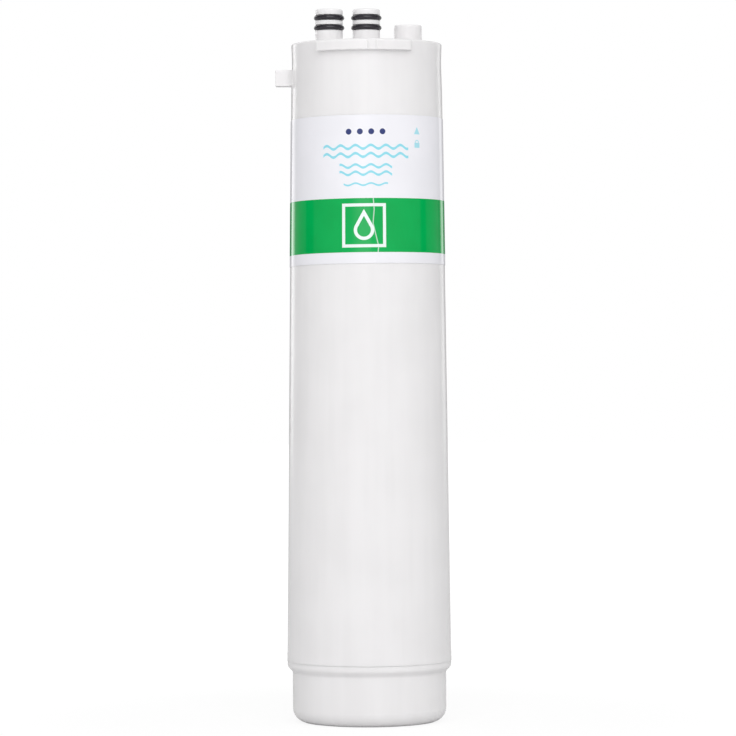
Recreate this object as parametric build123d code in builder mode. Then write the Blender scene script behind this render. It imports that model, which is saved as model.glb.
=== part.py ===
from build123d import *
import os
from math import cos, radians, sin

# Twist-in reverse osmosis membrane cartridge, millimetres.
# It stands on its foot: origin at the centre of the flat base, +Z up, front towards -Y.

# Barrel: a long drafted shell, open at the foot and closed by the head
JOINT_Z = 28.35
MOUTH_R = 38.1
MOUTH_Z = 30.0
FOOT_R = 37.9
FOOT_Z = 37.4
SHOULDER_R = 35.0
SHOULDER_Z = 292.0
WAIST_R = 34.55
WAIST_Z = 305.5
HEAD_R = 34.85
HEAD_TOP_Z = 314.3
HEAD_EDGE_R = 0.6
HEAD_THICKNESS = 4.0
HEAD_UNDER_Z = HEAD_TOP_Z - HEAD_THICKNESS
WALL = 2.7
MOUTH_BORE_R = 35.2
INNER_CORNER = 2.0
SEAM_CHAMFER = 0.3

# Water posts on the head, all in the plane of the axis
FEED_X = -17.3
PRODUCT_X = 0.0
DRAIN_X = 19.3
PORT_R = 3.2
NOZZLE_R = 6.35
NOZZLE_TOP_Z = 330.8
NOZZLE_LEAD_R = 0.8
DRAIN_POST_R = 6.4
DRAIN_POST_TOP_Z = 322.9
POST_EDGE = 0.3
POST_ROOT = 0.6

# O-rings and their glands on the two nozzles
NOZZLE_RING_SECTION = 2.25
NOZZLE_GLAND_R = 4.78
NOZZLE_GLAND_WIDTH = 2.65
NOZZLE_RING_Z = {"upper": 326.8, "lower": 322.2}
RING_STRETCH = 0.02

# Bayonet lugs and locking tab
LUG_R = 38.0
LUG_BOTTOM_Z = 308.8
LUG_TOP_Z = 313.6
LUG_EDGE_R = 0.5
LUG_START_DEG = -37.6
LUG_END_DEG = 33.0
DETENT_X = 3.0
DETENT_WIDTH = 3.6
DETENT_DEPTH = 0.35
TAB_REACH = 42.3
TAB_DEPTH = 8.0
TAB_BOTTOM_Z = 294.8
TAB_TOP_Z = 302.2
TAB_EDGE_R = 0.5

# Bottom cap: a cup with a weld flange and a spigot inside the barrel's mouth
CUP_R = 35.6
CUP_EDGE_R = 6.2
CUP_WALL = 3.0
CUP_FLOOR = 3.0
CUP_INNER_CORNER = 3.0
FLANGE_R = 37.8
FLANGE_BOTTOM_Z = 23.35
FLANGE_LIP_Z = 26.0
SPIGOT_R = 35.15
SPIGOT_TOP_Z = 36.4
RIB_COUNT = 6
RIB_THICKNESS = 2.4
RIB_INNER_R = 14.0
RIB_STEP_R = 28.8
RIB_SEAT_Z = 14.0
RIB_TOP_Z = 18.0

# Wrap label and its green band
LABEL_BOTTOM_Z = 211.7
LABEL_TOP_Z = 279.3
LABEL_THICKNESS = 0.2
LABEL_GAP_DEG = 8.0
BAND_BOTTOM_Z = 216.7
BAND_TOP_Z = 241.3
BAND_THICKNESS = 0.12

# Membrane element: tube, roll, wrap, end ring and plug
TUBE_R = 8.5
TUBE_BORE_R = 5.0
TUBE_BOTTOM_Z = 9.0
TUBE_TOP_Z = 296.5
TUBE_HOLE_R = 1.5
TUBE_HOLE_COUNT = 4
TUBE_HOLE_PITCH = 60.0
TUBE_GLAND_R = 6.8
TUBE_RING_Z = {"upper": 293.3, "lower": 289.3}
ROLL_R = 27.0
ROLL_BOTTOM_Z = 20.0
ROLL_TOP_Z = 282.0
WRAP_R = 27.4
END_RING_R = 28.6
END_RING_INNER_R = 24.0
END_RING_HUB_R = 12.0
END_RING_BORE_R = 8.8
END_RING_SPOKE = 2.4
PLUG_HEAD_BOTTOM_Z = 6.0
PLUG_STEM_R = 4.95
PLUG_TOP_Z = 19.0
PLUG_GLAND_R = 3.4
PLUG_RING_Z = 14.0

# Flow adaptor over the roll's top end, seated against the head's centre socket
SOCKET_BOTTOM_Z = 300.5
PRODUCT_SOCKET_R = 8.0
PRODUCT_SOCKET_BORE_R = 5.7
DRAIN_SOCKET_BORE_R = 4.2
SKIRT_R = 31.2
SKIRT_INNER_R = 29.7
SKIRT_BOTTOM_Z = 272.0
PLATE_BOTTOM_Z = 286.0
PLATE_TOP_Z = 289.0
HUB_R = 11.5
HUB_BORE_R = 8.6
HUB_ROOF_Z = 297.0
ADAPTOR_SPIGOT_TOP_Z = 309.5
PRODUCT_SPIGOT_R = 5.6
PRODUCT_SPIGOT_BORE_R = 2.5
PRODUCT_GLAND_R = 4.0
PRODUCT_RING_Z = {"upper": 306.8, "lower": 303.2}
DRAIN_SPIGOT_R = 4.1
DRAIN_SPIGOT_BORE_R = 1.6
DRAIN_GLAND_R = 2.8
DRAIN_RING_Z = 305.0
STOP_RIB_THICKNESS = 2.0
STOP_RIB_INNER_R = 13.0

# Brine seal: a band on the wrap with one lip that opens towards the feed
SEAL_BOTTOM_Z = 274.0
SEAL_TOP_Z = 279.0
SEAL_BAND = 0.9
SEAL_LIP = 0.7

# Squeezed O-rings inside the cartridge share one gland width
INNER_GLAND_WIDTH = 2.3
INNER_RING_WIDTH = 2.1
INNER_RING_CORNER = 0.5
FIT_GAP = 0.02

os.makedirs("parts", exist_ok=True)


def barrel_radius(z):
    """Outside radius of the drafted barrel at height z."""
    share = (z - FOOT_Z) / (SHOULDER_Z - FOOT_Z)
    return FOOT_R + share * (SHOULDER_R - FOOT_R)


def finish(piece, name):
    """Name a finished piece and write it to its own file."""
    piece.part.label = name
    export_step(piece.part, f"parts/{name}.step")


def polar(radius, angle):
    """Point in the XY plane at a radius and an angle in degrees."""
    return (radius * cos(radians(angle)), radius * sin(radians(angle)))


# Housing: barrel and head as one moulding
with BuildPart() as housing_barrel:
    with BuildSketch(Plane.XZ):
        with BuildLine():
            Polyline(
                (0, HEAD_UNDER_Z),
                (0, HEAD_TOP_Z),
                (HEAD_R - HEAD_EDGE_R, HEAD_TOP_Z),
            )
            RadiusArc(
                (HEAD_R - HEAD_EDGE_R, HEAD_TOP_Z),
                (HEAD_R, HEAD_TOP_Z - HEAD_EDGE_R),
                HEAD_EDGE_R,
            )
            Polyline(
                (HEAD_R, HEAD_TOP_Z - HEAD_EDGE_R),
                (WAIST_R, WAIST_Z),
                (SHOULDER_R, SHOULDER_Z),
                (FOOT_R, FOOT_Z),
                (MOUTH_R, MOUTH_Z),
                (MOUTH_R, JOINT_Z + SEAM_CHAMFER),
                (MOUTH_R - SEAM_CHAMFER, JOINT_Z),
                (MOUTH_BORE_R, JOINT_Z),
                (MOUTH_BORE_R, FOOT_Z),
                (HEAD_R - WALL, HEAD_UNDER_Z - INNER_CORNER),
                (HEAD_R - WALL - INNER_CORNER, HEAD_UNDER_Z),
                (0, HEAD_UNDER_Z),
            )
        make_face()
    revolve(axis=Axis.Z)

    # Nozzles with a rounded lead-in, drain post with a crisp rim, all three with a small angled root
    with BuildSketch(Plane.XY.offset(HEAD_TOP_Z)):
        with Locations((FEED_X, 0), (PRODUCT_X, 0)):
            Circle(NOZZLE_R)
    extrude(amount=NOZZLE_TOP_Z - HEAD_TOP_Z)
    nozzle_rims = housing_barrel.edges().group_by(Axis.Z)[-1]
    fillet(nozzle_rims, NOZZLE_LEAD_R)
    with BuildSketch(Plane.XY.offset(HEAD_TOP_Z)):
        with Locations((DRAIN_X, 0)):
            Circle(DRAIN_POST_R)
    extrude(amount=DRAIN_POST_TOP_Z - HEAD_TOP_Z)
    top_plane_edges = housing_barrel.edges().filter_by_position(Axis.Z, HEAD_TOP_Z - 0.01, HEAD_TOP_Z + 0.01)
    chamfer(top_plane_edges.filter_by(lambda edge: edge.radius < HEAD_R / 2), POST_ROOT)
    post_rim = housing_barrel.edges().filter_by_position(
        Axis.Z, DRAIN_POST_TOP_Z - 0.01, DRAIN_POST_TOP_Z + 0.01
    )
    chamfer(post_rim, POST_EDGE)

    # Bayonet lugs at the front and the back, just below the top of the head
    for turn in (-90, 90):
        with BuildSketch(Plane.XY.offset(LUG_BOTTOM_Z)):
            Circle(LUG_R)
            Circle(HEAD_R - WALL / 2, mode=Mode.SUBTRACT)
            Polygon(
                (0, 0),
                polar(2 * LUG_R, turn + LUG_START_DEG),
                polar(2 * LUG_R, turn),
                polar(2 * LUG_R, turn + LUG_END_DEG),
                align=None,
                mode=Mode.INTERSECT,
            )
        extrude(amount=LUG_TOP_Z - LUG_BOTTOM_Z)
    lug_rims = housing_barrel.edges().filter_by(GeomType.CIRCLE)
    fillet(lug_rims.filter_by(lambda edge: abs(edge.radius - LUG_R) < 0.01), LUG_EDGE_R)

    # Shallow detent groove down the face of each lug
    with BuildSketch(Plane.XY.offset(LUG_BOTTOM_Z)):
        with Locations((DETENT_X, -LUG_R), (-DETENT_X, LUG_R)):
            Rectangle(DETENT_WIDTH, 2 * DETENT_DEPTH)
    extrude(amount=LUG_TOP_Z - LUG_BOTTOM_Z, mode=Mode.SUBTRACT)

    # Locking tab on the side of the shoulder
    with BuildSketch(Plane.XY.offset(TAB_BOTTOM_Z)):
        with Locations((-(TAB_REACH + HEAD_R - WALL / 2) / 2, 0)):
            Rectangle(TAB_REACH - HEAD_R + WALL / 2, TAB_DEPTH)
    extrude(amount=TAB_TOP_Z - TAB_BOTTOM_Z)
    fillet(housing_barrel.faces().sort_by(Axis.X)[0].edges(), TAB_EDGE_R)

    # Sockets under the head for the adaptor's product and drain spigots
    with BuildSketch(Plane.XY.offset(SOCKET_BOTTOM_Z)):
        with Locations((PRODUCT_X, 0)):
            Circle(PRODUCT_SOCKET_R)
            Circle(PRODUCT_SOCKET_BORE_R, mode=Mode.SUBTRACT)
        with Locations((DRAIN_X, 0)):
            Circle(DRAIN_POST_R)
            Circle(DRAIN_SOCKET_BORE_R, mode=Mode.SUBTRACT)
    extrude(amount=HEAD_UNDER_Z + POST_ROOT - SOCKET_BOTTOM_Z)

    # Waterways down through the three posts
    with BuildSketch(Plane.XY.offset(HEAD_UNDER_Z)):
        with Locations((FEED_X, 0), (PRODUCT_X, 0), (DRAIN_X, 0)):
            Circle(PORT_R)
    extrude(amount=NOZZLE_TOP_Z - HEAD_UNDER_Z, mode=Mode.SUBTRACT)

    # O-ring glands round the two nozzles
    for ring_z in NOZZLE_RING_Z.values():
        with BuildSketch(Plane.XY.offset(ring_z - NOZZLE_GLAND_WIDTH / 2)):
            with Locations((FEED_X, 0), (PRODUCT_X, 0)):
                Circle(2 * NOZZLE_R - NOZZLE_GLAND_R)
                Circle(NOZZLE_GLAND_R, mode=Mode.SUBTRACT)
        extrude(amount=NOZZLE_GLAND_WIDTH, mode=Mode.SUBTRACT)
finish(housing_barrel, "housing_barrel")

# Bottom cap: rounded cup, flange chamfered under its lip, spigot inside the mouth, seat ribs
with BuildPart() as bottom_cap:
    with BuildSketch(Plane.XZ):
        with BuildLine():
            cup_inner_r = CUP_R - CUP_WALL
            Line((0, 0), (CUP_R - CUP_EDGE_R, 0))
            RadiusArc((CUP_R - CUP_EDGE_R, 0), (CUP_R, CUP_EDGE_R), -CUP_EDGE_R)
            Polyline(
                (CUP_R, CUP_EDGE_R),
                (CUP_R, FLANGE_BOTTOM_Z),
                (FLANGE_R, FLANGE_LIP_Z),
                (FLANGE_R, JOINT_Z - SEAM_CHAMFER),
                (FLANGE_R - SEAM_CHAMFER, JOINT_Z),
                (SPIGOT_R, JOINT_Z),
                (SPIGOT_R, SPIGOT_TOP_Z),
                (cup_inner_r, SPIGOT_TOP_Z),
                (cup_inner_r, CUP_FLOOR + CUP_INNER_CORNER),
                (cup_inner_r - CUP_INNER_CORNER, CUP_FLOOR),
                (0, CUP_FLOOR),
                (0, 0),
            )
        make_face()
    revolve(axis=Axis.Z)
    for number in range(RIB_COUNT):
        with BuildSketch(Plane.XZ.rotated((0, 0, number * 360 / RIB_COUNT))):
            with BuildLine():
                rib_root_r = CUP_R - CUP_WALL / 2
                rib_root_z = CUP_FLOOR / 2
                Polyline(
                    (RIB_INNER_R, rib_root_z),
                    (RIB_INNER_R, RIB_SEAT_Z),
                    (RIB_STEP_R, RIB_SEAT_Z),
                    (RIB_STEP_R, RIB_TOP_Z),
                    (rib_root_r, RIB_TOP_Z),
                    (rib_root_r, CUP_EDGE_R),
                    (rib_root_r - CUP_EDGE_R / 2, rib_root_z),
                    close=True,
                )
            make_face()
        extrude(amount=RIB_THICKNESS / 2, both=True)
finish(bottom_cap, "bottom_cap")

# O-rings on the two nozzles, round in section and standing proud of the nozzle
for nozzle_name, nozzle_x in {"feed": FEED_X, "product": PRODUCT_X}.items():
    for place, ring_z in NOZZLE_RING_Z.items():
        with BuildPart() as nozzle_ring:
            with Locations((nozzle_x, 0, ring_z)):
                Torus(
                    NOZZLE_GLAND_R + RING_STRETCH + NOZZLE_RING_SECTION / 2,
                    NOZZLE_RING_SECTION / 2,
                )
        finish(nozzle_ring, f"{nozzle_name}_o_ring_{place}")

# Label: white film wrapped round the barrel, its two ends a little apart at the back, and its green band
label_start = Plane.XZ.rotated((0, 0, 90 + LABEL_GAP_DEG / 2))
with BuildPart() as label_film:
    with BuildSketch(label_start):
        Polygon(
            (barrel_radius(LABEL_BOTTOM_Z), LABEL_BOTTOM_Z),
            (barrel_radius(LABEL_BOTTOM_Z) + LABEL_THICKNESS, LABEL_BOTTOM_Z),
            (barrel_radius(LABEL_TOP_Z) + LABEL_THICKNESS, LABEL_TOP_Z),
            (barrel_radius(LABEL_TOP_Z), LABEL_TOP_Z),
            align=None,
        )
    revolve(axis=Axis.Z, revolution_arc=360 - LABEL_GAP_DEG)
finish(label_film, "label_film")

with BuildPart() as label_green_band:
    with BuildSketch(label_start):
        Polygon(
            (barrel_radius(BAND_BOTTOM_Z) + LABEL_THICKNESS, BAND_BOTTOM_Z),
            (barrel_radius(BAND_BOTTOM_Z) + LABEL_THICKNESS + BAND_THICKNESS, BAND_BOTTOM_Z),
            (barrel_radius(BAND_TOP_Z) + LABEL_THICKNESS + BAND_THICKNESS, BAND_TOP_Z),
            (barrel_radius(BAND_TOP_Z) + LABEL_THICKNESS, BAND_TOP_Z),
            align=None,
        )
    revolve(axis=Axis.Z, revolution_arc=360 - LABEL_GAP_DEG)
finish(label_green_band, "label_green_band")

# Product tube: perforated inside the roll, with two glands at its upper end
with BuildPart() as product_tube:
    with BuildSketch(Plane.XY.offset(TUBE_BOTTOM_Z)):
        Circle(TUBE_R)
        Circle(TUBE_BORE_R, mode=Mode.SUBTRACT)
    extrude(amount=TUBE_TOP_Z - TUBE_BOTTOM_Z)
    roll_middle = Plane.XZ.shift_origin((0, 0, (ROLL_BOTTOM_Z + ROLL_TOP_Z) / 2))
    with BuildSketch(roll_middle):
        with GridLocations(0, TUBE_HOLE_PITCH, 1, TUBE_HOLE_COUNT):
            Circle(TUBE_HOLE_R)
    extrude(amount=2 * TUBE_R, both=True, mode=Mode.SUBTRACT)
    for ring_z in TUBE_RING_Z.values():
        with BuildSketch(Plane.XY.offset(ring_z - INNER_GLAND_WIDTH / 2)):
            Circle(2 * TUBE_R)
            Circle(TUBE_GLAND_R, mode=Mode.SUBTRACT)
        extrude(amount=INNER_GLAND_WIDTH, mode=Mode.SUBTRACT)
finish(product_tube, "product_tube")

# Membrane roll: all turns of membrane, spacer and carrier as one wound body
with BuildPart() as membrane_roll:
    with BuildSketch(Plane.XY.offset(ROLL_BOTTOM_Z)):
        Circle(ROLL_R)
        Circle(TUBE_R, mode=Mode.SUBTRACT)
    extrude(amount=ROLL_TOP_Z - ROLL_BOTTOM_Z)
finish(membrane_roll, "membrane_roll")

# Outer wrap that holds the roll closed
with BuildPart() as roll_wrap:
    with BuildSketch(Plane.XY.offset(ROLL_BOTTOM_Z)):
        Circle(WRAP_R)
        Circle(ROLL_R, mode=Mode.SUBTRACT)
    extrude(amount=ROLL_TOP_Z - ROLL_BOTTOM_Z)
finish(roll_wrap, "roll_wrap")

# Brine seal: band on the wrap and a lip that flares down to the adaptor's skirt
with BuildPart() as brine_seal:
    with BuildSketch(Plane.XZ):
        seal_r = WRAP_R + FIT_GAP
        lip_r = SKIRT_INNER_R - FIT_GAP
        Polygon(
            (seal_r, SEAL_BOTTOM_Z),
            (seal_r + SEAL_BAND, SEAL_BOTTOM_Z),
            (seal_r + SEAL_BAND, SEAL_TOP_Z - 2 * SEAL_LIP),
            (lip_r - SEAL_LIP / 2, SEAL_BOTTOM_Z + SEAL_LIP),
            (lip_r, SEAL_BOTTOM_Z + SEAL_LIP),
            (lip_r, SEAL_BOTTOM_Z + 2 * SEAL_LIP),
            (seal_r + SEAL_BAND, SEAL_TOP_Z),
            (seal_r, SEAL_TOP_Z),
            align=None,
        )
    revolve(axis=Axis.Z)
finish(brine_seal, "brine_seal")

# End ring: rim, hub and spokes that hold the leaves of the roll in line
with BuildPart() as bottom_end_ring:
    with BuildSketch(Plane.XY.offset(RIB_SEAT_Z)):
        Circle(END_RING_R)
        Circle(END_RING_INNER_R, mode=Mode.SUBTRACT)
        with PolarLocations((END_RING_INNER_R + END_RING_HUB_R) / 2, RIB_COUNT):
            Rectangle(END_RING_INNER_R - END_RING_HUB_R + END_RING_SPOKE, END_RING_SPOKE)
        Circle(END_RING_HUB_R)
        Circle(END_RING_BORE_R, mode=Mode.SUBTRACT)
    extrude(amount=ROLL_BOTTOM_Z - RIB_SEAT_Z)
finish(bottom_end_ring, "bottom_end_ring")

# Plug in the lower end of the product tube
with BuildPart() as tube_end_plug:
    with BuildSketch(Plane.XZ):
        Polygon(
            (0, PLUG_HEAD_BOTTOM_Z),
            (TUBE_R, PLUG_HEAD_BOTTOM_Z),
            (TUBE_R, TUBE_BOTTOM_Z),
            (PLUG_STEM_R, TUBE_BOTTOM_Z),
            (PLUG_STEM_R, PLUG_RING_Z - INNER_GLAND_WIDTH / 2),
            (PLUG_GLAND_R, PLUG_RING_Z - INNER_GLAND_WIDTH / 2),
            (PLUG_GLAND_R, PLUG_RING_Z + INNER_GLAND_WIDTH / 2),
            (PLUG_STEM_R, PLUG_RING_Z + INNER_GLAND_WIDTH / 2),
            (PLUG_STEM_R, PLUG_TOP_Z),
            (0, PLUG_TOP_Z),
            align=None,
        )
    revolve(axis=Axis.Z)
finish(tube_end_plug, "tube_end_plug")

# Flow adaptor: skirt and plate over the roll, hub on the tube, product and drain spigots
with BuildPart() as flow_adaptor:
    with BuildSketch(Plane.XZ):
        Polygon(
            (SKIRT_INNER_R, SKIRT_BOTTOM_Z),
            (SKIRT_R, SKIRT_BOTTOM_Z),
            (SKIRT_R, PLATE_TOP_Z),
            (HUB_R, PLATE_TOP_Z),
            (HUB_R, SOCKET_BOTTOM_Z),
            (PRODUCT_SPIGOT_R, SOCKET_BOTTOM_Z),
            (PRODUCT_SPIGOT_R, ADAPTOR_SPIGOT_TOP_Z),
            (PRODUCT_SPIGOT_BORE_R, ADAPTOR_SPIGOT_TOP_Z),
            (PRODUCT_SPIGOT_BORE_R, HUB_ROOF_Z),
            (HUB_BORE_R, HUB_ROOF_Z),
            (HUB_BORE_R, PLATE_BOTTOM_Z),
            (SKIRT_INNER_R, PLATE_BOTTOM_Z),
            align=None,
        )
    revolve(axis=Axis.Z)
    for ring_z in PRODUCT_RING_Z.values():
        with BuildSketch(Plane.XY.offset(ring_z - INNER_GLAND_WIDTH / 2)):
            Circle(2 * PRODUCT_SPIGOT_R)
            Circle(PRODUCT_GLAND_R, mode=Mode.SUBTRACT)
        extrude(amount=INNER_GLAND_WIDTH, mode=Mode.SUBTRACT)
    with BuildSketch(Plane.XY.offset(PLATE_TOP_Z)):
        with Locations((DRAIN_X, 0)):
            Circle(DRAIN_SPIGOT_R)
    extrude(amount=ADAPTOR_SPIGOT_TOP_Z - PLATE_TOP_Z)
    with BuildSketch(Plane.XY.offset(PLATE_BOTTOM_Z)):
        with Locations((DRAIN_X, 0)):
            Circle(DRAIN_SPIGOT_BORE_R)
    extrude(amount=ADAPTOR_SPIGOT_TOP_Z - PLATE_BOTTOM_Z, mode=Mode.SUBTRACT)
    with BuildSketch(Plane.XY.offset(DRAIN_RING_Z - INNER_GLAND_WIDTH / 2)):
        with Locations((DRAIN_X, 0)):
            Circle(2 * DRAIN_SPIGOT_R)
            Circle(DRAIN_GLAND_R, mode=Mode.SUBTRACT)
    extrude(amount=INNER_GLAND_WIDTH, mode=Mode.SUBTRACT)
    with BuildSketch(Plane.XY.offset(ROLL_TOP_Z)):
        rib_outer_r = (SKIRT_R + SKIRT_INNER_R) / 2
        with PolarLocations((STOP_RIB_INNER_R + rib_outer_r) / 2, RIB_COUNT, start_angle=180 / RIB_COUNT):
            Rectangle(rib_outer_r - STOP_RIB_INNER_R, STOP_RIB_THICKNESS)
    extrude(amount=PLATE_TOP_Z - ROLL_TOP_Z)
finish(flow_adaptor, "flow_adaptor")

# O-rings inside the cartridge, flattened between the floor of the gland and the bore that they seal
SQUEEZED_RINGS = {
    "adaptor_product_o_ring_upper": (PRODUCT_X, PRODUCT_RING_Z["upper"], PRODUCT_GLAND_R, PRODUCT_SOCKET_BORE_R),
    "adaptor_product_o_ring_lower": (PRODUCT_X, PRODUCT_RING_Z["lower"], PRODUCT_GLAND_R, PRODUCT_SOCKET_BORE_R),
    "adaptor_drain_o_ring": (DRAIN_X, DRAIN_RING_Z, DRAIN_GLAND_R, DRAIN_SOCKET_BORE_R),
    "tube_o_ring_upper": (0, TUBE_RING_Z["upper"], TUBE_GLAND_R, HUB_BORE_R),
    "tube_o_ring_lower": (0, TUBE_RING_Z["lower"], TUBE_GLAND_R, HUB_BORE_R),
    "plug_o_ring": (0, PLUG_RING_Z, PLUG_GLAND_R, TUBE_BORE_R),
}
for ring_name, (ring_x, ring_z, gland_r, bore_r) in SQUEEZED_RINGS.items():
    with BuildPart() as squeezed_ring:
        with BuildSketch(Plane.XZ) as section:
            with Locations(((ring_x + (gland_r + bore_r) / 2), ring_z)):
                Rectangle(bore_r - gland_r - 2 * FIT_GAP, INNER_RING_WIDTH)
            chamfer(section.vertices(), INNER_RING_CORNER)
        revolve(axis=Axis((ring_x, 0, 0), (0, 0, 1)))
    finish(squeezed_ring, ring_name)
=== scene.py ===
# %% [markdown]
# # A twist-in membrane cartridge
# This is a sealed water cartridge that stands on its foot: a long tapered shell with a closed head, two
# nozzles with O-rings, a plain post, bayonet lugs, a locking tab, a welded bottom cap and a printed wrap
# label. The packed CAD model is the fixed frame. What the camera sees is modelled again here with softer
# edges, and each new piece takes the place of its CAD node. What is sealed inside keeps its CAD shape and
# only gets a finish.

# %% Load the frame
from functools import reduce
from math import asin, ceil, cos, degrees, exp, pi, radians, sin, sqrt, tan
import bmesh
import bpy
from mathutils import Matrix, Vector


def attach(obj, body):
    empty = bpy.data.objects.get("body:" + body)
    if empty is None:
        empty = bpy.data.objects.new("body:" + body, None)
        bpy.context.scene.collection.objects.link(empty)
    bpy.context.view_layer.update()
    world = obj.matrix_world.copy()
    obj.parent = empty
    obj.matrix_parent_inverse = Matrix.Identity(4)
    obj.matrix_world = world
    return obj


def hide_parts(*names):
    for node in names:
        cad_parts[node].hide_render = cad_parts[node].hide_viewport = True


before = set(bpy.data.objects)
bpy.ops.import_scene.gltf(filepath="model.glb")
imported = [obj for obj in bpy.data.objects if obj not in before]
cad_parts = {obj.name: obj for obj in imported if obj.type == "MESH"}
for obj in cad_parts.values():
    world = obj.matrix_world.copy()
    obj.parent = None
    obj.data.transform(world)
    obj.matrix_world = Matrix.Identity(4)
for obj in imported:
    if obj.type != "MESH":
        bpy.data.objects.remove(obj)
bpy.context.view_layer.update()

MM = 0.001

# %% [markdown]
# ## The camera
# The cartridge was photographed level with its middle, from far away with a long lens, so its sides run
# almost parallel. A camera can be placed by eye, but here it is worked out: one pixel covers a known
# width at the barrel's axis, and that width and the distance give the focal length. The picture leans by
# a fraction of a degree, so the camera is rolled by as much.

# %% Camera
PICTURE_PX = 736
MM_PER_PX = 0.4646
CAMERA_DISTANCE = 1.65
CAMERA_HEIGHT = 0.164
CAMERA_ROLL_DEG = 0.282
SENSOR_WIDTH = 36.0

picture_width = PICTURE_PX * MM_PER_PX * MM
camera_data = bpy.data.cameras.new("studio_camera")
camera_data.sensor_fit = "HORIZONTAL"
camera_data.sensor_width = SENSOR_WIDTH
camera_data.lens = SENSOR_WIDTH * CAMERA_DISTANCE / picture_width
camera = bpy.data.objects.new("studio_camera", camera_data)
camera.location = (0, -CAMERA_DISTANCE, CAMERA_HEIGHT)
camera.rotation_euler = (radians(90), radians(CAMERA_ROLL_DEG), 0)
bpy.context.scene.collection.objects.link(camera)
bpy.context.scene.camera = camera
print("lens in mm:", round(camera_data.lens, 1))

# %% [markdown]
# ## Outlines with rounded corners
# Every moulding has small radii, because a mould can't be cut or filled with knife-sharp edges. A bevel
# modifier could round the finished mesh, but it needs care where faces are long and thin. Rounding the
# drawn outline first is steadier: each corner is a point with its own radius, and the arc is worked out
# from the two straight runs.

# %% Rounded outline
ARC_STEPS = 6


def rounded(corners):
    """Points of an outline in the radius and height plane; a corner is (radius, height, fillet)."""
    points = []
    for place, (radius, height, fillet) in enumerate(corners):
        corner = Vector((radius, height))
        if not fillet:
            points.append(tuple(corner))
            continue
        before = (Vector(corners[place - 1][:2]) - corner).normalized()
        after = (Vector(corners[place + 1][:2]) - corner).normalized()
        half = before.angle(after) / 2
        centre = corner + (before + after).normalized() * fillet / sin(half)
        start = corner + before * fillet / tan(half) - centre
        sweep = start.angle_signed(corner + after * fillet / tan(half) - centre)
        for step in range(ARC_STEPS + 1):
            turn = -sweep * step / ARC_STEPS
            x = start.x * cos(turn) - start.y * sin(turn)
            y = start.x * sin(turn) + start.y * cos(turn)
            points.append((centre.x + x, centre.y + y))
    return points


print("a rounded square corner has", len(rounded([(1, 0, 0), (1, 1, 0.2), (0, 1, 0)])), "points")

# %% [markdown]
# ## From outlines to meshes
# A turned shape is an outline swept round an axis. Blender's screw modifier does that for one plain
# outline. The shell here also carries lugs and a tab, so the outline changes on its way round, and the
# mesh is sewn from columns instead: each column is the outline at one angle, and quads join it to the
# next.

# %% Sewing columns
def turned_column(outline, angle, centre_x=0.0):
    """The outline as points in space, at an angle in radians round an upright axis."""
    return [(centre_x + r * cos(angle), r * sin(angle), z) for r, z in outline]


def sew(mesh, columns, ring=True, tube=False):
    """Adds the columns to the mesh and joins neighbours by quads; returns the columns of vertices."""
    lines = [[mesh.verts.new(Vector(point) * MM) for point in column] for column in columns]
    pairs = list(zip(lines, lines[1:]))
    if ring:
        pairs.append((lines[-1], lines[0]))
    for left, right in pairs:
        rows = list(zip(left, right))
        if tube:
            rows.append(rows[0])
        for (a, b), (d, c) in zip(rows, rows[1:]):
            mesh.faces.new((a, b, c, d))
    return lines


def turn_on_lathe(mesh, outline, steps, centre_x=0.0, tube=False):
    """Sews an outline all the way round an upright axis."""
    angles = [2 * pi * step / steps for step in range(steps)]
    return sew(mesh, [turned_column(outline, angle, centre_x) for angle in angles], tube=tube)


quarter_turn = turned_column([(1.0, 0.0)], pi / 2)[0]
print("a quarter turn takes (1, 0, 0) to", tuple(round(side, 3) for side in quarter_turn))

# %% Mesh to piece
WELD_DISTANCE = 1e-7
SHARP_ANGLE = radians(38)


def make_piece(mesh, name, *nodes):
    """Turns a mesh into a smooth-shaded object that rides on the frame and stands for CAD nodes."""
    bmesh.ops.remove_doubles(mesh, verts=mesh.verts, dist=WELD_DISTANCE)
    bmesh.ops.dissolve_degenerate(mesh, edges=mesh.edges, dist=WELD_DISTANCE)
    bmesh.ops.recalc_face_normals(mesh, faces=mesh.faces)
    data = bpy.data.meshes.new(name)
    mesh.to_mesh(data)
    mesh.free()
    data.polygons.foreach_set("use_smooth", [True] * len(data.polygons))
    data.set_sharp_from_angle(angle=SHARP_ANGLE)
    piece = bpy.data.objects.new(name, data)
    bpy.context.scene.collection.objects.link(piece)
    even = piece.modifiers.new("even_shading", "WEIGHTED_NORMAL")
    even.keep_sharp = True
    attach(piece, "root")
    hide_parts(*nodes)
    print(name, "has", len(data.polygons), "faces and stands for", ", ".join(nodes))
    return piece


print("edges beyond", round(degrees(SHARP_ANGLE)), "degrees stay crisp")

# %% [markdown]
# ## The shell: its outline
# The barrel, the head and everything on the head are one moulding. The barrel is drafted, a little wider
# at the foot than at the shoulder, so that it leaves its mould. The outline below runs down the inside
# wall, round the open mouth and up the outside to the locking tab. Its sizes are the CAD part's, in
# millimetres, and a few are moved by some tenths to follow the photograph.

# %% Shell sizes
JOINT_Z = 28.35
MOUTH_R, MOUTH_Z, MOUTH_FILLET = 38.1, 30.0, 6.0
FOOT_R, FOOT_Z, FOOT_FILLET = 37.9, 37.4, 60.0
SHOULDER_R, SHOULDER_Z, SHOULDER_FILLET = 35.0, 292.0, 220.0
WAIST_R, WAIST_Z, WAIST_FILLET = 34.55, 305.5, 85.0
HEAD_R, HEAD_TOP_Z, HEAD_EDGE_R = 34.85, 314.1, 0.6
HEAD_UNDER_Z = 310.3
MOUTH_BORE_R = 35.2
WALL = 2.7
INNER_CORNER, INNER_FILLET = 2.0, 0.8
SEAM_CHAMFER, SEAM_FILLET = 0.04, 0.04


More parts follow.
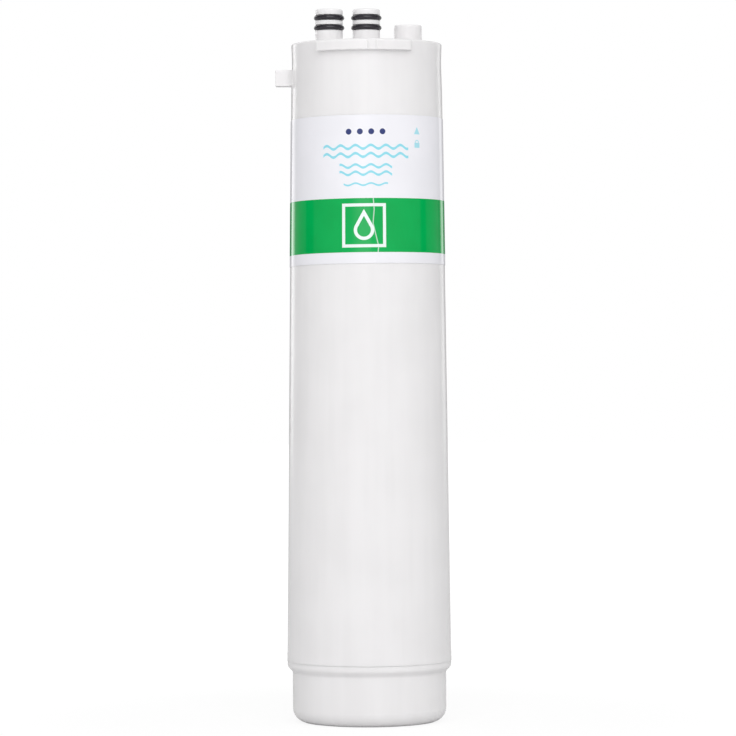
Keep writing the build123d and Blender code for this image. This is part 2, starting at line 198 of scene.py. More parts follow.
def barrel_radius(z):
    """Outside radius of the drafted barrel at height z."""
    share = (z - FOOT_Z) / (SHOULDER_Z - FOOT_Z)
    return FOOT_R + share * (SHOULDER_R - FOOT_R)


def neck_radius(z):
    """Outside radius of the neck, which draws in from the shoulder to the waist."""
    share = (z - SHOULDER_Z) / (WAIST_Z - SHOULDER_Z)
    return SHOULDER_R + share * (WAIST_R - SHOULDER_R)


def head_radius(z):
    """Outside radius of the head's side, which opens a little towards the top."""
    share = (z - WAIST_Z) / (HEAD_TOP_Z - HEAD_EDGE_R - WAIST_Z)
    return WAIST_R + share * (HEAD_R - WAIST_R)


print("the barrel narrows by", round(FOOT_R - SHOULDER_R, 2), "mm from foot to shoulder")

# %% Shell outline
TAB_BOTTOM_Z, TAB_TOP_Z = 294.9, 302.35
LUG_BOTTOM_Z, LUG_TOP_Z = 308.8, 313.4

tab_low_r = neck_radius(TAB_BOTTOM_Z)
tab_high_r = neck_radius(TAB_TOP_Z)
barrel_outline = rounded([
    (HEAD_R - WALL - INNER_CORNER, HEAD_UNDER_Z, 0),
    (HEAD_R - WALL, HEAD_UNDER_Z - INNER_CORNER, INNER_FILLET),
    (MOUTH_BORE_R, FOOT_Z, 0),
    (MOUTH_BORE_R, JOINT_Z, 0),
    (MOUTH_R - SEAM_CHAMFER, JOINT_Z, 0),
    (MOUTH_R, JOINT_Z + SEAM_CHAMFER, SEAM_FILLET),
    (MOUTH_R, MOUTH_Z, MOUTH_FILLET),
    (FOOT_R, FOOT_Z, FOOT_FILLET),
    (SHOULDER_R, SHOULDER_Z, SHOULDER_FILLET),
    (tab_low_r, TAB_BOTTOM_Z, 0),
])
neck_outline = rounded([
    (tab_high_r, TAB_TOP_Z, 0),
    (WAIST_R, WAIST_Z, WAIST_FILLET),
    (head_radius(LUG_BOTTOM_Z), LUG_BOTTOM_Z, 0),
])
print("barrel outline:", len(barrel_outline), "points, neck outline:", len(neck_outline), "points")

# %% [markdown]
# ## Lugs and tab
# The two lugs slide under ledges in the manifold head and the tab stops the turn. Cutting them in with
# boolean operations would leave hard, unrounded joins. Here each column asks how far a block stands out
# at its angle, and a block has a drafted end, a rounded corner and then its full height, as a moulded one
# has. The tab also has a fillet at its root, and the end of a lug that goes under the ledge first is
# rounder than the other.

# %% Block reach
BLOCK_DRAFT = 0.12
EDGE_STEPS = 4
EDGE_TURNS = [radians(90) * step / EDGE_STEPS for step in range(EDGE_STEPS + 1)]


def block_reach(along, length, height, edge, root=0.0):
    """How far a moulded block stands out, so many millimetres along from one end; root is its fillet."""
    inside = min(along, length - along)
    if inside <= -root:
        return 0.0
    if inside <= 0:
        return root - sqrt(root * root - (inside + root) ** 2)
    if inside < BLOCK_DRAFT:
        return root + (height - edge - root) * inside / BLOCK_DRAFT
    rest = max(1 - (inside - BLOCK_DRAFT) / edge, 0.0)
    return height - edge + edge * sqrt(1 - rest * rest)


def block_stations(length, edge, root=0.0):
    """Where a block needs columns to show its ends, rounded corners and root fillets."""
    near = [0.0] + [BLOCK_DRAFT + edge * (1 - cos(turn)) for turn in EDGE_TURNS]
    if root:
        near = [root * (sin(turn) - 1) for turn in EDGE_TURNS[:-1]] + near
    return near + [length - station for station in near]


def edge_rows(outer, low, high, edge):
    """Outline up the face of a block, from its rounded lower edge to its rounded upper edge."""
    inner = outer - edge
    lower = [(inner + edge * sin(turn), low + edge - edge * cos(turn)) for turn in EDGE_TURNS]
    upper = [(inner + edge * cos(turn), high - edge + edge * sin(turn)) for turn in EDGE_TURNS]
    return lower + upper


print("a block needs", len(block_stations(10, 0.5)), "columns of its own")

# %% Lug and tab sizes
LUG_R = 38.0
LUG_EDGE_R, LUG_LEAD_R = 0.5, 1.8
LUG_START_DEG, LUG_END_DEG = -37.6, 34.4
LUG_CENTRES_DEG = (-90.0, 90.0)
DETENT_X, DETENT_WIDTH, DETENT_DEPTH, DETENT_SLOPE = 2.65, 4.6, 0.7, 0.75
TAB_REACH, TAB_DEPTH, TAB_EDGE_R, TAB_ROOT_R = 42.3, 8.0, 0.5, 2.2
TAB_CENTRE_DEG = 180.0

lug_length = radians(LUG_END_DEG - LUG_START_DEG) * LUG_R
detent_along = (asin(DETENT_X / LUG_R) - radians(LUG_START_DEG)) * LUG_R


def end_radius(along):
    """Corner radius at the nearer end of a lug: the end that leads into the ledge is rounder."""
    return LUG_LEAD_R if along > lug_length / 2 else LUG_EDGE_R


def lug_reach(along):
    """Reach of a lug, less the shallow detent groove that runs down its face."""
    from_groove = abs(along - detent_along) - DETENT_WIDTH / 2
    groove = min(max(-from_groove / DETENT_SLOPE, 0.0), 1.0) * DETENT_DEPTH
    return max(block_reach(along, lug_length, LUG_R - HEAD_R, end_radius(along)) - groove, 0.0)


lug_stations = []
for edge in (LUG_EDGE_R, LUG_LEAD_R):
    lug_stations += [s for s in block_stations(lug_length, edge) if end_radius(s) == edge]
for side in (-1, 1):
    lug_stations += [detent_along + side * DETENT_WIDTH / 2]
    lug_stations += [detent_along + side * (DETENT_WIDTH / 2 - DETENT_SLOPE)]
tab_stations = block_stations(TAB_DEPTH, TAB_EDGE_R, TAB_ROOT_R)
print("lug length in mm:", round(lug_length, 1))

# %% [markdown]
# ## Columns of the shell
# Even columns all round give a smooth silhouette. The blocks' own columns are added, and even ones too
# close to them are left out, so that no face is a sliver.

# %% Column angles
EVEN_COLUMNS = 288
CLOSEST_DEG = 0.5

block_angles = []
for centre in LUG_CENTRES_DEG:
    block_angles += [centre + LUG_START_DEG + degrees(station / LUG_R) for station in lug_stations]
for station in tab_stations:
    block_angles.append(TAB_CENTRE_DEG - degrees(asin((station - TAB_DEPTH / 2) / tab_low_r)))
block_angles = sorted(angle % 360 for angle in block_angles)
even_angles = [360 * step / EVEN_COLUMNS for step in range(EVEN_COLUMNS)]
even_angles = [a for a in even_angles if min(abs(a - b) for b in block_angles) > CLOSEST_DEG]
column_angles = sorted(block_angles + even_angles)
print("columns of the shell:", len(column_angles))

# %% One column
head_rim = rounded([
    (HEAD_R, LUG_TOP_Z, 0),
    (HEAD_R, HEAD_TOP_Z, HEAD_EDGE_R),
    (HEAD_R - 2 * HEAD_EDGE_R, HEAD_TOP_Z, 0),
])


def lug_rows(angle):
    """Radius and height up the head's side at an angle in degrees, over a lug where there is one."""
    reach = 0.0
    for centre in LUG_CENTRES_DEG:
        local = (angle - centre + 180) % 360 - 180
        reach = max(reach, lug_reach(radians(local - LUG_START_DEG) * LUG_R))
    edge = min(LUG_EDGE_R, reach)
    rows = edge_rows(HEAD_R + reach, LUG_BOTTOM_Z, LUG_TOP_Z, edge)
    if not reach:
        steps = len(EDGE_TURNS)
        rows = [(head_radius(LUG_BOTTOM_Z), LUG_BOTTOM_Z)] * steps + [(HEAD_R, LUG_TOP_Z)] * steps
    return rows + head_rim


def tab_points(angle):
    """Points over the tab at an angle in degrees; beside the tab they fall together on the barrel."""
    turn = radians(angle)
    low = (tab_low_r * cos(turn), tab_low_r * sin(turn), TAB_BOTTOM_Z)
    high = (tab_high_r * cos(turn), tab_high_r * sin(turn), TAB_TOP_Z)
    height = TAB_REACH - tab_low_r
    reach = 0.0
    if cos(turn) < 0:
        reach = block_reach(TAB_DEPTH / 2 + low[1], TAB_DEPTH, height, TAB_EDGE_R, TAB_ROOT_R)
    if not reach:
        return [low] * len(EDGE_TURNS) + [high] * len(EDGE_TURNS)
    edge = min(TAB_EDGE_R, reach)
    share = reach / height
    rows = edge_rows(share * (TAB_REACH + low[0]) - low[0], TAB_BOTTOM_Z, TAB_TOP_Z, edge)
    return [(-out, low[1], z) for out, z in rows]


def shell_column(angle):
    """The whole outline at one angle, from inside the head round the mouth to the rim of the head's top."""
    turn = radians(angle)
    points = turned_column(barrel_outline, turn) + tab_points(angle)
    return points + turned_column(neck_outline + lug_rows(angle), turn)


print("points in one column:", len(shell_column(0)))

# %% [markdown]
# ## Posts on the head
# Two nozzles carry O-rings in square-cut glands, and a shorter post stands beside them. Each is turned
# round its own axis: up the outside, over the rounded tip, down the waterway and, under the head, round
# the socket that takes a spigot of the part inside. The tip of a nozzle is rounded so that it finds its
# way into a socket.

# %% Post outlines
FEED_X, PRODUCT_X, DRAIN_X = -17.3, 0.0, 19.3
PORT_R = 3.2
PORT_EDGE = 0.35
NOZZLE_R, NOZZLE_TOP_Z, NOZZLE_LEAD_R = 6.35, 330.5, 0.8
DRAIN_POST_R, DRAIN_POST_TOP_Z, POST_EDGE = 6.4, 322.9, 0.3
POST_ROOT = 0.6
GLAND_R, GLAND_WIDTH, GLAND_EDGE = 4.78, 2.65, 0.12
RING_Z = {"upper": 326.6, "lower": 322.0}
SOCKET_BOTTOM_Z = 300.5
PRODUCT_SOCKET_R, PRODUCT_SOCKET_BORE_R = 8.0, 5.7
DRAIN_SOCKET_BORE_R = 4.2


def post_outline(radius, top, tip_edge, glands, socket):
    """Outline of one post, from its root on the head to the end of its way through the head."""
    corners = [(radius + 2 * POST_ROOT, HEAD_TOP_Z, 0), (radius, HEAD_TOP_Z, POST_ROOT)]
    for gland_z in glands:
        for step in (-1, 1):
            wall_z = gland_z + step * GLAND_WIDTH / 2
            groove = [(radius, wall_z, GLAND_EDGE), (GLAND_R, wall_z, GLAND_EDGE)]
            corners += groove if step < 0 else groove[::-1]
    corners += [(radius, top, tip_edge), (PORT_R, top, PORT_EDGE), (PORT_R, HEAD_UNDER_Z, 0)]
    corners += [(socket_r, z, 0) for socket_r, z in socket]
    return rounded(corners)


product_socket = [
    (PRODUCT_SOCKET_BORE_R, HEAD_UNDER_Z),
    (PRODUCT_SOCKET_BORE_R, SOCKET_BOTTOM_Z),
    (PRODUCT_SOCKET_R, SOCKET_BOTTOM_Z),
    (PRODUCT_SOCKET_R, HEAD_UNDER_Z),
]
drain_socket = [
    (DRAIN_SOCKET_BORE_R, HEAD_UNDER_Z),
    (DRAIN_SOCKET_BORE_R, SOCKET_BOTTOM_Z),
    (DRAIN_POST_R, SOCKET_BOTTOM_Z),
    (DRAIN_POST_R, HEAD_UNDER_Z),
]
nozzle_glands = sorted(RING_Z.values())
posts = {
    FEED_X: post_outline(NOZZLE_R, NOZZLE_TOP_Z, NOZZLE_LEAD_R, nozzle_glands, []),
    PRODUCT_X: post_outline(NOZZLE_R, NOZZLE_TOP_Z, NOZZLE_LEAD_R, nozzle_glands, product_socket),
    DRAIN_X: post_outline(DRAIN_POST_R, DRAIN_POST_TOP_Z, POST_EDGE, [], drain_socket),
}
print("points in the post outlines:", [len(outline) for outline in posts.values()])

# %% [markdown]
# ## Closing the shell
# The columns leave two open rings, on top of the head and under it, and each post leaves two more. A
# triangle fill closes each plane between its rings, so the shell is one watertight skin like the moulding
# itself.

# %% Shell piece
POST_STEPS = 96


def fill_between(mesh, rings, normal):
    """Fills the flat field between closed rings of vertices."""
    edges = []
    for ring in rings:
        for a, b in zip(ring, ring[1:] + ring[:1]):
            edges.append(mesh.edges.get((a, b)))
    bmesh.ops.triangle_fill(mesh, use_beauty=True, edges=edges, normal=normal)


shell_mesh = bmesh.new()
shell_lines = sew(shell_mesh, [shell_column(angle) for angle in column_angles])
top_rings = [[line[-1] for line in shell_lines]]
under_rings = [[line[0] for line in shell_lines]]
for post_x, outline in posts.items():
    post_lines = turn_on_lathe(shell_mesh, outline, POST_STEPS, post_x)
    top_rings.append([line[0] for line in post_lines])
    under_rings.append([line[-1] for line in post_lines])
fill_between(shell_mesh, top_rings, (0, 0, 1))
fill_between(shell_mesh, under_rings, (0, 0, -1))
shell = make_piece(shell_mesh, "shell", "housing_barrel")

# %% [markdown]
# ## The bottom cap
# A cup closes the open mouth. Its flange is welded to the barrel, and the fine groove round the foot is
# where the two meet. The cup has a generous radius at the bottom, so that it stands steadily and is easy
# to wipe. Six ribs inside carry the roll. The cup is turned on the lathe; the ribs are prisms, joined on
# by an exact boolean union, because inside they meet the wall with no radius.

# %% Cap outline
CUP_R, CUP_EDGE_R, CUP_WALL, CUP_FLOOR, CUP_INNER_CORNER = 35.6, 6.5, 3.0, 3.0, 3.0
FLANGE_R, FLANGE_BOTTOM_Z, FLANGE_LIP_Z = 37.95, 23.4, 25.8
FLANGE_LIP_R, FLANGE_ROOT_R = 2.4, 2.0
SPIGOT_R, SPIGOT_TOP_Z = 35.15, 36.4
CAP_STEPS = 288

cup_inner_r = CUP_R - CUP_WALL
cap_outline = rounded([
    (0, 0, 0),
    (CUP_R, 0, CUP_EDGE_R),
    (CUP_R, FLANGE_BOTTOM_Z, FLANGE_ROOT_R),
    (FLANGE_R, FLANGE_LIP_Z, FLANGE_LIP_R),
    (FLANGE_R, JOINT_Z - SEAM_CHAMFER, SEAM_FILLET),
    (FLANGE_R - SEAM_CHAMFER, JOINT_Z, 0),
    (SPIGOT_R, JOINT_Z, 0),
    (SPIGOT_R, SPIGOT_TOP_Z, 0),
    (cup_inner_r, SPIGOT_TOP_Z, 0),
    (cup_inner_r, CUP_FLOOR, CUP_INNER_CORNER),
    (0, CUP_FLOOR, 0),
])
print("cap outline:", len(cap_outline), "points")

# %% Cap ribs
RIB_COUNT, RIB_THICKNESS = 6, 2.4
RIB_INNER_R, RIB_STEP_R, RIB_SEAT_Z, RIB_TOP_Z = 14.0, 28.8, 14.0, 18.0

rib_root_r = CUP_R - CUP_WALL / 2
rib_root_z = CUP_FLOOR / 2
rib_outline = [
    (RIB_INNER_R, rib_root_z),
    (rib_root_r - CUP_EDGE_R / 2, rib_root_z),
    (rib_root_r, CUP_EDGE_R),
    (rib_root_r, RIB_TOP_Z),
    (RIB_STEP_R, RIB_TOP_Z),
    (RIB_STEP_R, RIB_SEAT_Z),
    (RIB_INNER_R, RIB_SEAT_Z),
]


def rib_point(radius, z, side, turn):
    """A point of a rib that stands out at an angle, so far to one side of its middle plane."""
    return (radius * cos(turn) - side * sin(turn), radius * sin(turn) + side * cos(turn), z)


rib_mesh = bmesh.new()
for number in range(RIB_COUNT):
    turn = 2 * pi * number / RIB_COUNT
    faces = []
    for side in (-RIB_THICKNESS / 2, RIB_THICKNESS / 2):
        points = [rib_point(radius, z, side, turn) for radius, z in rib_outline]
        faces.append([rib_mesh.verts.new(Vector(point) * MM) for point in points])
    front, back = faces
    rib_mesh.faces.new(front)
    rib_mesh.faces.new(back[::-1])
    for (a, b), (d, c) in zip(zip(front, back), zip(front[1:] + front[:1], back[1:] + back[:1])):
        rib_mesh.faces.new((a, b, c, d))
bmesh.ops.recalc_face_normals(rib_mesh, faces=rib_mesh.faces)
print("ribs:", RIB_COUNT, "with", len(rib_mesh.faces), "faces")

# %% Cap piece
cap_mesh = bmesh.new()
turn_on_lathe(cap_mesh, cap_outline, CAP_STEPS)
cap = make_piece(cap_mesh, "foot_cap", "bottom_cap")

rib_data = bpy.data.meshes.new("cap_ribs")
rib_mesh.to_mesh(rib_data)
rib_mesh.free()
ribs = bpy.data.objects.new("cap_ribs", rib_data)
bpy.context.scene.collection.objects.link(ribs)
union = cap.modifiers.new("ribs", "BOOLEAN")
union.operation = "UNION"
union.solver = "EXACT"
union.object = ribs
cap.modifiers.move(1, 0)
joined = bpy.data.meshes.new_from_object(cap.evaluated_get(bpy.context.evaluated_depsgraph_get()))
cap.modifiers.remove(union)
cap.data = joined
bpy.data.objects.remove(ribs)
print("cap with ribs:", len(cap.data.polygons), "faces")

# %% [markdown]
# ## O-rings
# Each nozzle seals with two black rubber rings. A real O-ring is pressed in a two-part mould, which
# leaves a hair of flash round its outer edge. Blender's torus has no such line, so the section is drawn
# as a circle that swells by two hundredths of a millimetre there, and is then turned round the nozzle.

# %% O-rings
RING_SECTION_R = 1.125
RING_GAP = 0.02
RING_STEPS = 96
SECTION_STEPS = 40
FLASH_HEIGHT, FLASH_WIDTH_DEG = 0.02, 4.0
FLASH_TURNS = (-6.0, -3.0, -1.5, 1.5, 3.0, 6.0)

ring_centre_r = GLAND_R + RING_GAP + RING_SECTION_R
even_turns = [360 * step / SECTION_STEPS - 180 for step in range(SECTION_STEPS)]
section_turns = sorted(even_turns + list(FLASH_TURNS))
ring_outline = []
for turn in section_turns:
    reach = RING_SECTION_R + FLASH_HEIGHT * exp(-((turn / FLASH_WIDTH_DEG) ** 2))
    ring_outline.append((ring_centre_r + reach * cos(radians(turn)), reach * sin(radians(turn))))

o_rings = []
for nozzle, nozzle_x in {"feed": FEED_X, "product": PRODUCT_X}.items():
    for place, ring_z in RING_Z.items():
        ring_mesh = bmesh.new()
        placed = [(r, z + ring_z) for r, z in ring_outline]
        turn_on_lathe(ring_mesh, placed, RING_STEPS, nozzle_x, tube=True)
        o_rings.append(make_piece(ring_mesh, f"{nozzle}_ring_{place}", f"{nozzle}_o_ring_{place}"))

# %% [markdown]
# ## The wrap label
# The label was cut as a straight strip and wrapped round a barrel that tapers, so its ends run down a
# little towards the back, and it was put on slightly askew. It also creased: a fine fold runs down
# through the printed band. A texture could paint the fold, but only a raised one catches the light as the
# real one does, so the sheet is sewn with narrow columns there and lifted along the fold.

# %% Label shape
LABEL_BOTTOM_Z, LABEL_TOP_Z, LABEL_THICKNESS = 211.7, 279.3, 0.2
BAND_BOTTOM_Z, BAND_TOP_Z, BAND_THICKNESS = 216.7, 241.3, 0.04
LABEL_GAP_DEG = 8.0
LABEL_DROOP_R = 3358.0
LABEL_SKEW = tan(radians(0.35))
# Height and place along the label, at each kink of the fold
FOLD_PATH = [
    (206.0, 4.2), (212.4, 4.3), (219.3, 5.1), (229.8, 2.6), (236.2, 3.15), (242.6, 2.65), (252.0, 2.2),
]
FOLD_HEIGHT, FOLD_WIDTH, FOLD_CREST = 0.16, 0.55, 1.5
FOLD_FADE_Z = (243.0, 251.0)

label_r = barrel_radius((LABEL_BOTTOM_Z + LABEL_TOP_Z) / 2)


def fold_place(z):
    """Where along the label the fold runs at a height: straight stretches between a few kinks."""
    for (low_z, low_u), (high_z, high_u) in zip(FOLD_PATH, FOLD_PATH[1:]):
        if z <= high_z:
            return low_u + (high_u - low_u) * (z - low_z) / (high_z - low_z)
    return FOLD_PATH[-1][1]


def fold_lift(along, z):
    """Height of the fold above the smooth film: a narrow tent that fades out towards the top."""
    low, high = FOLD_FADE_Z
    fade = min(max((high - z) / (high - low), 0.0), 1.0)
    return fade * FOLD_HEIGHT * max(1 - abs(along - fold_place(z)) / FOLD_WIDTH, 0.0) ** FOLD_CREST


print("label length in mm:", round(radians(360 - LABEL_GAP_DEG) * label_r, 1))

# %% Label sheet
PLAIN_STEP, FOLD_STEP, ROW_STEP = 1.6, 0.18, 1.0
FOLD_FIELD = (0.5, 8.5)
PRINT_MAP = "print_mm"


def label_places():
    """Distances along the label from its front centre, close together round the fold."""
    half = radians(180 - LABEL_GAP_DEG / 2) * label_r
    places = []
    fold_start, fold_end = FOLD_FIELD
    stretches = [(-half, fold_start, PLAIN_STEP), (*FOLD_FIELD, FOLD_STEP), (fold_end, half, PLAIN_STEP)]
    for start, end, step in stretches:
        count = ceil((end - start) / step)
        places += [start + (end - start) * number / count for number in range(count)]
    return places + [half]


def label_point(along, z, lift):
    """A point of the label in space, by its place on the flat strip and its height above the barrel."""
    turn = along / label_r - pi / 2
    high = z - along * along / (2 * LABEL_DROOP_R) + LABEL_SKEW * along
    radius = barrel_radius(high) + lift + fold_lift(along, z)
    return (radius * cos(turn), radius * sin(turn), high)


def wrap_sheet(name, low, high, inner, outer, *nodes):
    """A closed thin sheet round the barrel, mapped in millimetres of the flat strip."""
    rows = ceil((high - low) / ROW_STEP)
    heights = [low + (high - low) * row / rows for row in range(rows + 1)]
    flat = []
    for along in label_places():
        face = [(along, z, outer) for z in heights]
        back = [(along, z, inner) for z in heights[::-1]]
        flat.append(face + back)
    sheet = bmesh.new()
    lines = sew(sheet, [[label_point(*spot) for spot in column] for column in flat], ring=False, tube=True)
    spots = {vertex: spot for line, column in zip(lines, flat) for vertex, spot in zip(line, column)}
    for line in (lines[0], lines[-1]):
        for row in range(rows):
            sheet.faces.new((line[row], line[row + 1], line[-row - 2], line[-row - 1]))
    print_map = sheet.loops.layers.uv.new(PRINT_MAP)
    for face in sheet.faces:
        for loop in face.loops:
            loop[print_map].uv = spots[loop.vert][:2]
    return make_piece(sheet, name, *nodes)


FILM_LIFT = 0.01
band_lift = LABEL_THICKNESS + BAND_THICKNESS
film = wrap_sheet("label_sheet", LABEL_BOTTOM_Z, LABEL_TOP_Z, FILM_LIFT, LABEL_THICKNESS, "label_film")
band = wrap_sheet("label_band", BAND_BOTTOM_Z, BAND_TOP_Z, LABEL_THICKNESS, band_lift, "label_green_band")

# %% [markdown]
# ## Writing finishes as sums
# Finishes are node trees, and a tree is easier to read as arithmetic. The class below wraps a socket:
# adding, multiplying or dividing wraps adds the Math nodes. Colours are mixed by a Mix node, and any
# other node comes from one method that takes its kind, its settings and its sockets.

# %% Wire class
class Wire:
    """An output socket of a shader node that can be used in Python sums."""

    def __init__(self, tree, socket=None):
        self.tree = tree
        self.socket = socket

    def node(self, kind, settings=None, sockets=None, output=0):
        """Adds any node: its settings are set first, then its sockets' values or links."""
        made = self.tree.nodes.new("ShaderNode" + kind)
        for name, value in (settings or {}).items():
            if name == "stops":
                self.set_stops(made.color_ramp, value)
            else:
                setattr(made, name, value)
        for name, value in (sockets or {}).items():
            if isinstance(value, Wire):
                self.tree.links.new(value.socket, made.inputs[name])
            else:
                made.inputs[name].default_value = value
        return Wire(self.tree, made.outputs[output]) if made.outputs else made

    @staticmethod
    def set_stops(ramp, stops):
        """Gives a colour ramp its stops, each a place and a grey value."""
        while len(ramp.elements) < len(stops):
            ramp.elements.new(1.0)
        for element, (place, grey) in zip(ramp.elements, stops):
            element.position = place
            element.color = (grey, grey, grey, 1)

    def math(self, operation, *values):
        """A Math node with an operation, on these values or wires."""
        return self.node("Math", {"operation": operation}, dict(enumerate(values)))

    def __add__(self, other):
        return self.math("ADD", self, other)

    def __sub__(self, other):
        return self.math("SUBTRACT", self, other)

    def __rsub__(self, other):
        return self.math("SUBTRACT", other, self)

    def __mul__(self, other):
        return self.math("MULTIPLY", self, other)

    def __truediv__(self, other):
        return self.math("DIVIDE", self, other)

    def __pow__(self, other):
        return self.math("POWER", self, other)

    def __abs__(self):
        return self.math("ABSOLUTE", self)

    __radd__ = __add__
    __rmul__ = __mul__

    def sine(self):
        """The sine of an angle in radians."""
        return self.math("SINE", self)

    def either(self, other):
        """The larger of two values: the union of two masks."""
        return self.math("MAXIMUM", self, other)

    def both(self, other):
        """The smaller of two values: where two masks overlap."""
        return self.math("MINIMUM", self, other)

    def rise(self, low, high):
        """0 below one value and 1 above another, with a soft change between."""
        settings = {"interpolation_type": "SMOOTHSTEP"}
        return self.node("MapRange", settings, {"Value": self, "From Min": low, "From Max": high})

    def tint(self, at_zero, at_one):
        """A colour mixed from two others, with this value as the share of the second."""
        settings = {"data_type": "RGBA"}
        colours = [c if isinstance(c, Wire) else (*c, 1) for c in (at_zero, at_one)]
        return self.node("Mix", settings, {0: self, 6: colours[0], 7: colours[1]}, output=2)


print("reflected operators of a wire:", [name for name in vars(Wire) if name.startswith("__r")])

# %% Starting and closing a finish
def new_finish(name):
    """An empty material and a wire to start its tree from."""
    material = bpy.data.materials.new(name)
    material.use_nodes = True
    material.node_tree.nodes.clear()
    return material, Wire(material.node_tree)


def close_finish(start, **sockets):
    """Adds the Principled shader with the sockets given, and the output; names have _ for spaces."""
    named = {name.replace("_", " "): value for name, value in sockets.items()}
    shader = start.node("BsdfPrincipled", sockets=named)
    start.node("OutputMaterial", sockets={"Surface": shader})
    print("finish closed with", len(start.tree.nodes), "nodes")


def grain(start, scale, detail=2.0, stretch=(1, 1, 1)):
    """Noise at so many cells to the metre, in the object's own coordinates."""
    place = start.node("TexCoord", output="Object")
    stretched = start.node("VectorMath", {"operation": "MULTIPLY"}, {0: place, 1: stretch})
    return start.node("TexNoise", sockets={"Vector": stretched, "Scale": scale, "Detail": detail})


def bump(start, height, depth_mm):
    """A Bump node for a height from 0 to 1 that stands for a depth in millimetres."""
    return start.node("Bump", sockets={"Height": height, "Distance": depth_mm * MM, "Strength": 1.0})


print("finish helpers ready")

# %% [markdown]
# ## White moulding
# The shell and the cap are white polypropylene. Moulded from a polished but not mirror-bright tool, it
# has a satin sheen, the faintest ripple and hardly visible flow marks along the barrel. A flat white
# would look like paper; noise at three scales gives it depth. A little light also enters the plastic and
# spreads by less than a millimetre before it leaves, which softens the shading at edges.

# %% White moulding
MOULDING_LIGHT = (0.874, 0.862, 0.869)
MOULDING_DARK = (0.844, 0.833, 0.839)
TONE_SPREAD = (0.35, 0.65)
FLOW_STRETCH = (1, 1, 0.06)
MOULDING_IOR = 1.49
LIGHT_REACH = 0.8 * MM

white_moulding, start = new_finish("white_moulding")
cloud = grain(start, scale=35)
flow = grain(start, scale=220, stretch=FLOW_STRETCH)
tone = 0.6 * cloud + 0.4 * flow
skin = grain(start, scale=1600, detail=3.0)
close_finish(
    start,
    Base_Color=tone.rise(*TONE_SPREAD).tint(MOULDING_DARK, MOULDING_LIGHT),
    Roughness=0.17 + 0.08 * skin + 0.05 * flow,
    IOR=MOULDING_IOR,
    Subsurface_Weight=1.0,
    Subsurface_Radius=(1, 1, 1),
    Subsurface_Scale=LIGHT_REACH,
    Normal=bump(start, 0.7 * skin + 0.3 * cloud, depth_mm=0.003),
)
for piece in (shell, cap):
    piece.data.materials.append(white_moulding)

# %% [markdown]
# ## Black rubber
# The rings are nitrile rubber with a wipe of grease, so they are nearly black, a little uneven and shine
# along their upper edge.

# %% Black rubber
RUBBER_DARK = (0.015, 0.0125, 0.018)
RUBBER_LIGHT = (0.036, 0.031, 0.04)
SPECK_SPREAD = (0.4, 0.7)

black_rubber, start = new_finish("black_rubber")
speck = grain(start, scale=2500, detail=4.0)
smear = grain(start, scale=260)
close_finish(
    start,
    Base_Color=speck.rise(*SPECK_SPREAD).tint(RUBBER_DARK, RUBBER_LIGHT),
    Roughness=0.14 + 0.16 * smear,
    Normal=bump(start, speck, depth_mm=0.004),
)
for ring in o_rings:
    ring.data.materials.append(black_rubber)

# %% [markdown]
# ## Print on the label
# Printed shapes are masks worked out in millimetres on the flat strip. A distance from a line, a box or a
# circle becomes ink where it is smaller than half a stroke, with a soft edge a tenth of a millimetre
# wide, as printing has.

# %% Print helpers
INK_EDGE = 0.06


def strip_place(start):
    """Distance along the label and height, in millimetres, from the print map."""
    place = start.node("UVMap", {"uv_map": PRINT_MAP})
    return [start.node("SeparateXYZ", sockets={0: place}, output=side) for side in ("X", "Y")]


def ink(distance):
    """A mask that is 1 where a signed distance is below zero."""
    return 1 - distance.rise(-INK_EDGE, INK_EDGE)


def box_distance(u, v, centre, half):
    """Signed distance, measured square, from a box."""
    return (abs(u - centre[0]) - half[0]).either(abs(v - centre[1]) - half[1])


def disc_distance(u, v, centre, radius):
    """Signed distance from a disc."""
    du = u - centre[0]
    dv = v - centre[1]
    return (du * du + dv * dv) ** 0.5 - radius


print("ink edge in mm:", 2 * INK_EDGE)

# %% [markdown]
# ## White film
# The label is a glossy printed film. Above the band it has five pale blue waves, two pairs and a single
# one, under a row of dark blue dots, and to the right an arrow over a small padlock that shows which way
# the cartridge locks. An image could carry the print, but masks stay sharp from any distance.

# %% Waves and dots
WAVE_CENTRE, WAVE_LENGTH = -0.6, 7.0
# Height, half length, swing and half stroke of each wave
WAVES = [
    (264.6, 20.5, 0.85, 0.62),
    (260.9, 20.5, 0.85, 0.62),
    (255.9, 12.2, 0.75, 0.55),
    (252.6, 12.2, 0.75, 0.55),
    (247.6, 10.2, 0.5, 0.4),
]
DOT_Z, DOT_R, DOT_PITCH = 271.6, 1.35, 5.2

white_film, start = new_finish("label_white")
u, v = strip_place(start)
from_middle = abs(u - WAVE_CENTRE)
ripple = (u * (2 * pi / WAVE_LENGTH)).sine()
waves = []
for wave_z, half, swing, stroke in WAVES:
    line = abs(v - wave_z - swing * ripple) - stroke
    waves.append(ink(line.either(from_middle - half)))
wave_mask = reduce(Wire.either, waves)
dots = ink(disc_distance(abs(from_middle - DOT_PITCH) - DOT_PITCH / 2, v, (0, DOT_Z), DOT_R))
dot_mask = dots.both(ink(from_middle - 2 * DOT_PITCH))
print("waves on the film:", len(waves))

# %% Lock marks
LOCK_U, ARROW_Z, PADLOCK_Z = 24.9, 273.6, 265.6
ARROW_SLOPE, ARROW_HEIGHT, ARROW_GROWTH = 2.0, 2.6, 0.4
PADLOCK_HALF = (1.5, 1.15)
SHACKLE_RISE, SHACKLE_R, SHACKLE_STROKE = 1.3, 0.95, 0.22

